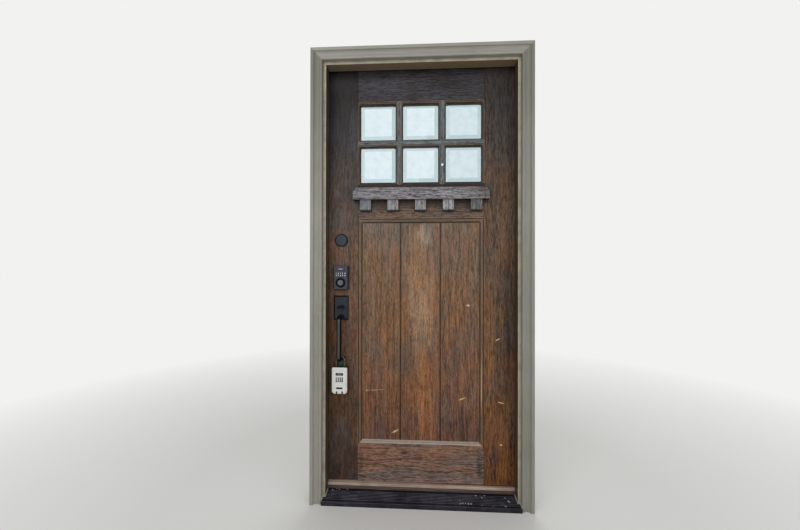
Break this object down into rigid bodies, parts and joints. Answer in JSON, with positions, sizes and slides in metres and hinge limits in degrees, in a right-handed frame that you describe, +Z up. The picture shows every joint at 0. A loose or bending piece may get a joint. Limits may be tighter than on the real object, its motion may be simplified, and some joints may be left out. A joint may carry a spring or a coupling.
{
  "type": "panelled front door with frame",
  "caption": "Stained wooden front door hung in its jambs: bevelled lites over a dentil shelf and a planked panel, with a keypad lock, grip handle and hanging key safe.",
  "frame": {"origin": "centre of the threshold's underside, midway through the depth of the jambs", "axes": "+X to the right seen from outside, towards the hinges; +Y into the house; +Z up"},
  "size_m": [1.0288, 0.2023, 2.1317],
  "materials": {
    "stained_wood": "worn dark stain",
    "painted_trim": "satin paint",
    "painted_jamb": "satin paint",
    "weather_foam": "matte",
    "dark_aluminium": "dark anodised",
    "sill_wood": "sawn",
    "cap_oak": "weathered",
    "bevelled_glass": "polished",
    "hinge_steel": "oil-rubbed",
    "bolt_steel": "satin",
    "bronze_lacquer": "satin",
    "black_plastic": "matte",
    "plug_brass": "satin",
    "key_rubber": "matte",
    "safe_white": "gloss",
    "shackle_steel": "vinyl coat",
    "wheel_black": "matte",
    "slider_grey": "matte"
  },
  "bodies": {
    "frame": {"hinge_jamb": "painted_jamb", "strike_jamb": "painted_jamb", "head_jamb": "painted_jamb", "brickmould_legs": "painted_trim", "brickmould_head": "painted_trim", "weatherstrips": "weather_foam", "threshold_deck": "dark_aluminium", "threshold_base": "sill_wood", "threshold_cap": "cap_oak", "strikes": "hinge_steel", "jamb_hinge_leaves": "hinge_steel", "hinge_pins": "hinge_steel"},
    "leaf": {"hinge_stile": "stained_wood", "lock_stile": "stained_wood", "top_rail": "stained_wood", "shelf_rail": "stained_wood", "bottom_rail": "stained_wood", "muntins": "stained_wood", "glazing_beads": "stained_wood", "dentil_shelf": "stained_wood", "dentils": "stained_wood", "planks": "stained_wood", "panes": "bevelled_glass", "door_sweep": "weather_foam", "door_hinge_leaves": "hinge_steel", "blank_rose": "bronze_lacquer", "upper_bolt_case": "bolt_steel", "upper_turn_rose": "bronze_lacquer", "keypad_plate": "bronze_lacquer", "key_guard": "black_plastic", "key_cylinder": "bronze_lacquer", "lower_bolt_case": "bolt_steel", "inside_lock_cover": "black_plastic", "handle_plate": "bronze_lacquer", "grip": "bronze_lacquer", "latch_case": "bolt_steel", "lever_rose": "bronze_lacquer"},
    "thumb_piece": {"thumb_piece": "bronze_lacquer"},
    "latch_bolt": {"latch_bolt": "bolt_steel"},
    "upper_turn": {"upper_thumbturn": "bronze_lacquer"},
    "upper_bolt": {"upper_bolt": "bolt_steel"},
    "lower_turn": {"lower_thumbturn": "bronze_lacquer"},
    "lower_bolt": {"lower_bolt": "bolt_steel"},
    "key_plug": {"key_plug": "plug_brass"},
    "inside_lever": {"inside_lever": "bronze_lacquer"},
    "lock_button": {"lock_button": "bronze_lacquer"},
    "key_1": {"key_1": "key_rubber"},
    "key_2": {"key_2": "key_rubber"},
    "key_3": {"key_3": "key_rubber"},
    "key_4": {"key_4": "key_rubber"},
    "key_5": {"key_5": "key_rubber"},
    "key_safe": {"key_safe_body": "safe_white", "key_safe_cover": "safe_white", "key_safe_shackle": "shackle_steel"},
    "number_wheel_1": {"number_wheel_1": "wheel_black"},
    "number_wheel_2": {"number_wheel_2": "wheel_black"},
    "number_wheel_3": {"number_wheel_3": "wheel_black"},
    "number_wheel_4": {"number_wheel_4": "wheel_black"},
    "key_safe_slider": {"key_safe_slider": "slider_grey"}
  },
  "joints": [
    {"name": "leaf_swing", "type": "hinge", "parent": "frame", "child": "leaf", "pos_m": [0.4588, 0.065, 0], "axis": [0, 0, -1], "range_deg": [0, 110]},
    {"name": "thumb_press", "type": "hinge", "parent": "leaf", "child": "thumb_piece", "pos_m": [-0.38735, 0.00755, 0.9133], "axis": [1, 0, 0], "range_deg": [0, 16], "stiffness_Nm_per_rad": 1, "springref_deg": -17.19},
    {"name": "latch_draw", "type": "slide", "parent": "leaf", "child": "latch_bolt", "axis": [1, 0, 0], "range_m": [0, 0.0127]},
    {"name": "upper_turn", "type": "hinge", "parent": "leaf", "child": "upper_turn", "pos_m": [-0.38735, 0.058, 1.238], "axis": [0, 1, 0], "range_deg": [0, 90]},
    {"name": "upper_bolt_throw", "type": "slide", "parent": "leaf", "child": "upper_bolt", "axis": [-1, 0, 0], "range_m": [0, 0.0254]},
    {"name": "lower_turn", "type": "hinge", "parent": "leaf", "child": "lower_turn", "pos_m": [-0.38735, 0.058, 1.031], "axis": [0, 1, 0], "range_deg": [0, 90]},
    {"name": "lower_bolt_throw", "type": "slide", "parent": "leaf", "child": "lower_bolt", "axis": [-1, 0, 0], "range_m": [0, 0.0254]},
    {"name": "key_turn", "type": "hinge", "parent": "leaf", "child": "key_plug", "pos_m": [-0.38735, -0.00845, 1.031], "axis": [0, 1, 0], "range_deg": [-90, 90]},
    {"name": "lever_press", "type": "hinge", "parent": "leaf", "child": "inside_lever", "pos_m": [-0.38735, 0.058, 0.8913], "axis": [0, 1, 0], "range_deg": [0, 45], "stiffness_Nm_per_rad": 2, "springref_deg": -17.19},
    {"name": "lock_button_press", "type": "slide", "parent": "leaf", "child": "lock_button", "axis": [0, 1, 0], "range_m": [0, 0.0012], "stiffness_N_per_m": 300},
    {"name": "key_1_press", "type": "slide", "parent": "leaf", "child": "key_1", "axis": [0, 1, 0], "range_m": [0, 0.0012], "stiffness_N_per_m": 300},
    {"name": "key_2_press", "type": "slide", "parent": "leaf", "child": "key_2", "axis": [0, 1, 0], "range_m": [0, 0.0012], "stiffness_N_per_m": 300},
    {"name": "key_3_press", "type": "slide", "parent": "leaf", "child": "key_3", "axis": [0, 1, 0], "range_m": [0, 0.0012], "stiffness_N_per_m": 300},
    {"name": "key_4_press", "type": "slide", "parent": "leaf", "child": "key_4", "axis": [0, 1, 0], "range_m": [0, 0.0012], "stiffness_N_per_m": 300},
    {"name": "key_5_press", "type": "slide", "parent": "leaf", "child": "key_5", "axis": [0, 1, 0], "range_m": [0, 0.0012], "stiffness_N_per_m": 300},
    {"name": "key_safe_swing", "type": "hinge", "parent": "leaf", "child": "key_safe", "pos_m": [-0.38735, -0.01145, 0.65381], "axis": [0, 1, 0], "range_deg": [-12, 7]},
    {"name": "number_wheel_1_turn", "type": "hinge", "parent": "key_safe", "child": "number_wheel_1", "pos_m": [-0.40175, -0.02255, 0.56681], "axis": [1, 0, 0], "continuous": true},
    {"name": "number_wheel_2_turn", "type": "hinge", "parent": "key_safe", "child": "number_wheel_2", "pos_m": [-0.39215, -0.02255, 0.56681], "axis": [1, 0, 0], "continuous": true},
    {"name": "number_wheel_3_turn", "type": "hinge", "parent": "key_safe", "child": "number_wheel_3", "pos_m": [-0.38255, -0.02255, 0.56681], "axis": [1, 0, 0], "continuous": true},
    {"name": "number_wheel_4_turn", "type": "hinge", "parent": "key_safe", "child": "number_wheel_4", "pos_m": [-0.37295, -0.02255, 0.56681], "axis": [1, 0, 0], "continuous": true},
    {"name": "slider_shift", "type": "slide", "parent": "key_safe", "child": "key_safe_slider", "axis": [1, 0, 0], "range_m": [-0.007, 0.007], "stiffness_N_per_m": 150}
  ],
  "couplings": [
    {"joint": "latch_draw", "follows": "thumb_press", "m_per_rad": 0.045474},
    {"joint": "upper_turn", "follows": "upper_bolt_throw", "rad_per_m": 61.836},
    {"joint": "lower_turn", "follows": "lower_bolt_throw", "rad_per_m": 61.836}
  ]
}
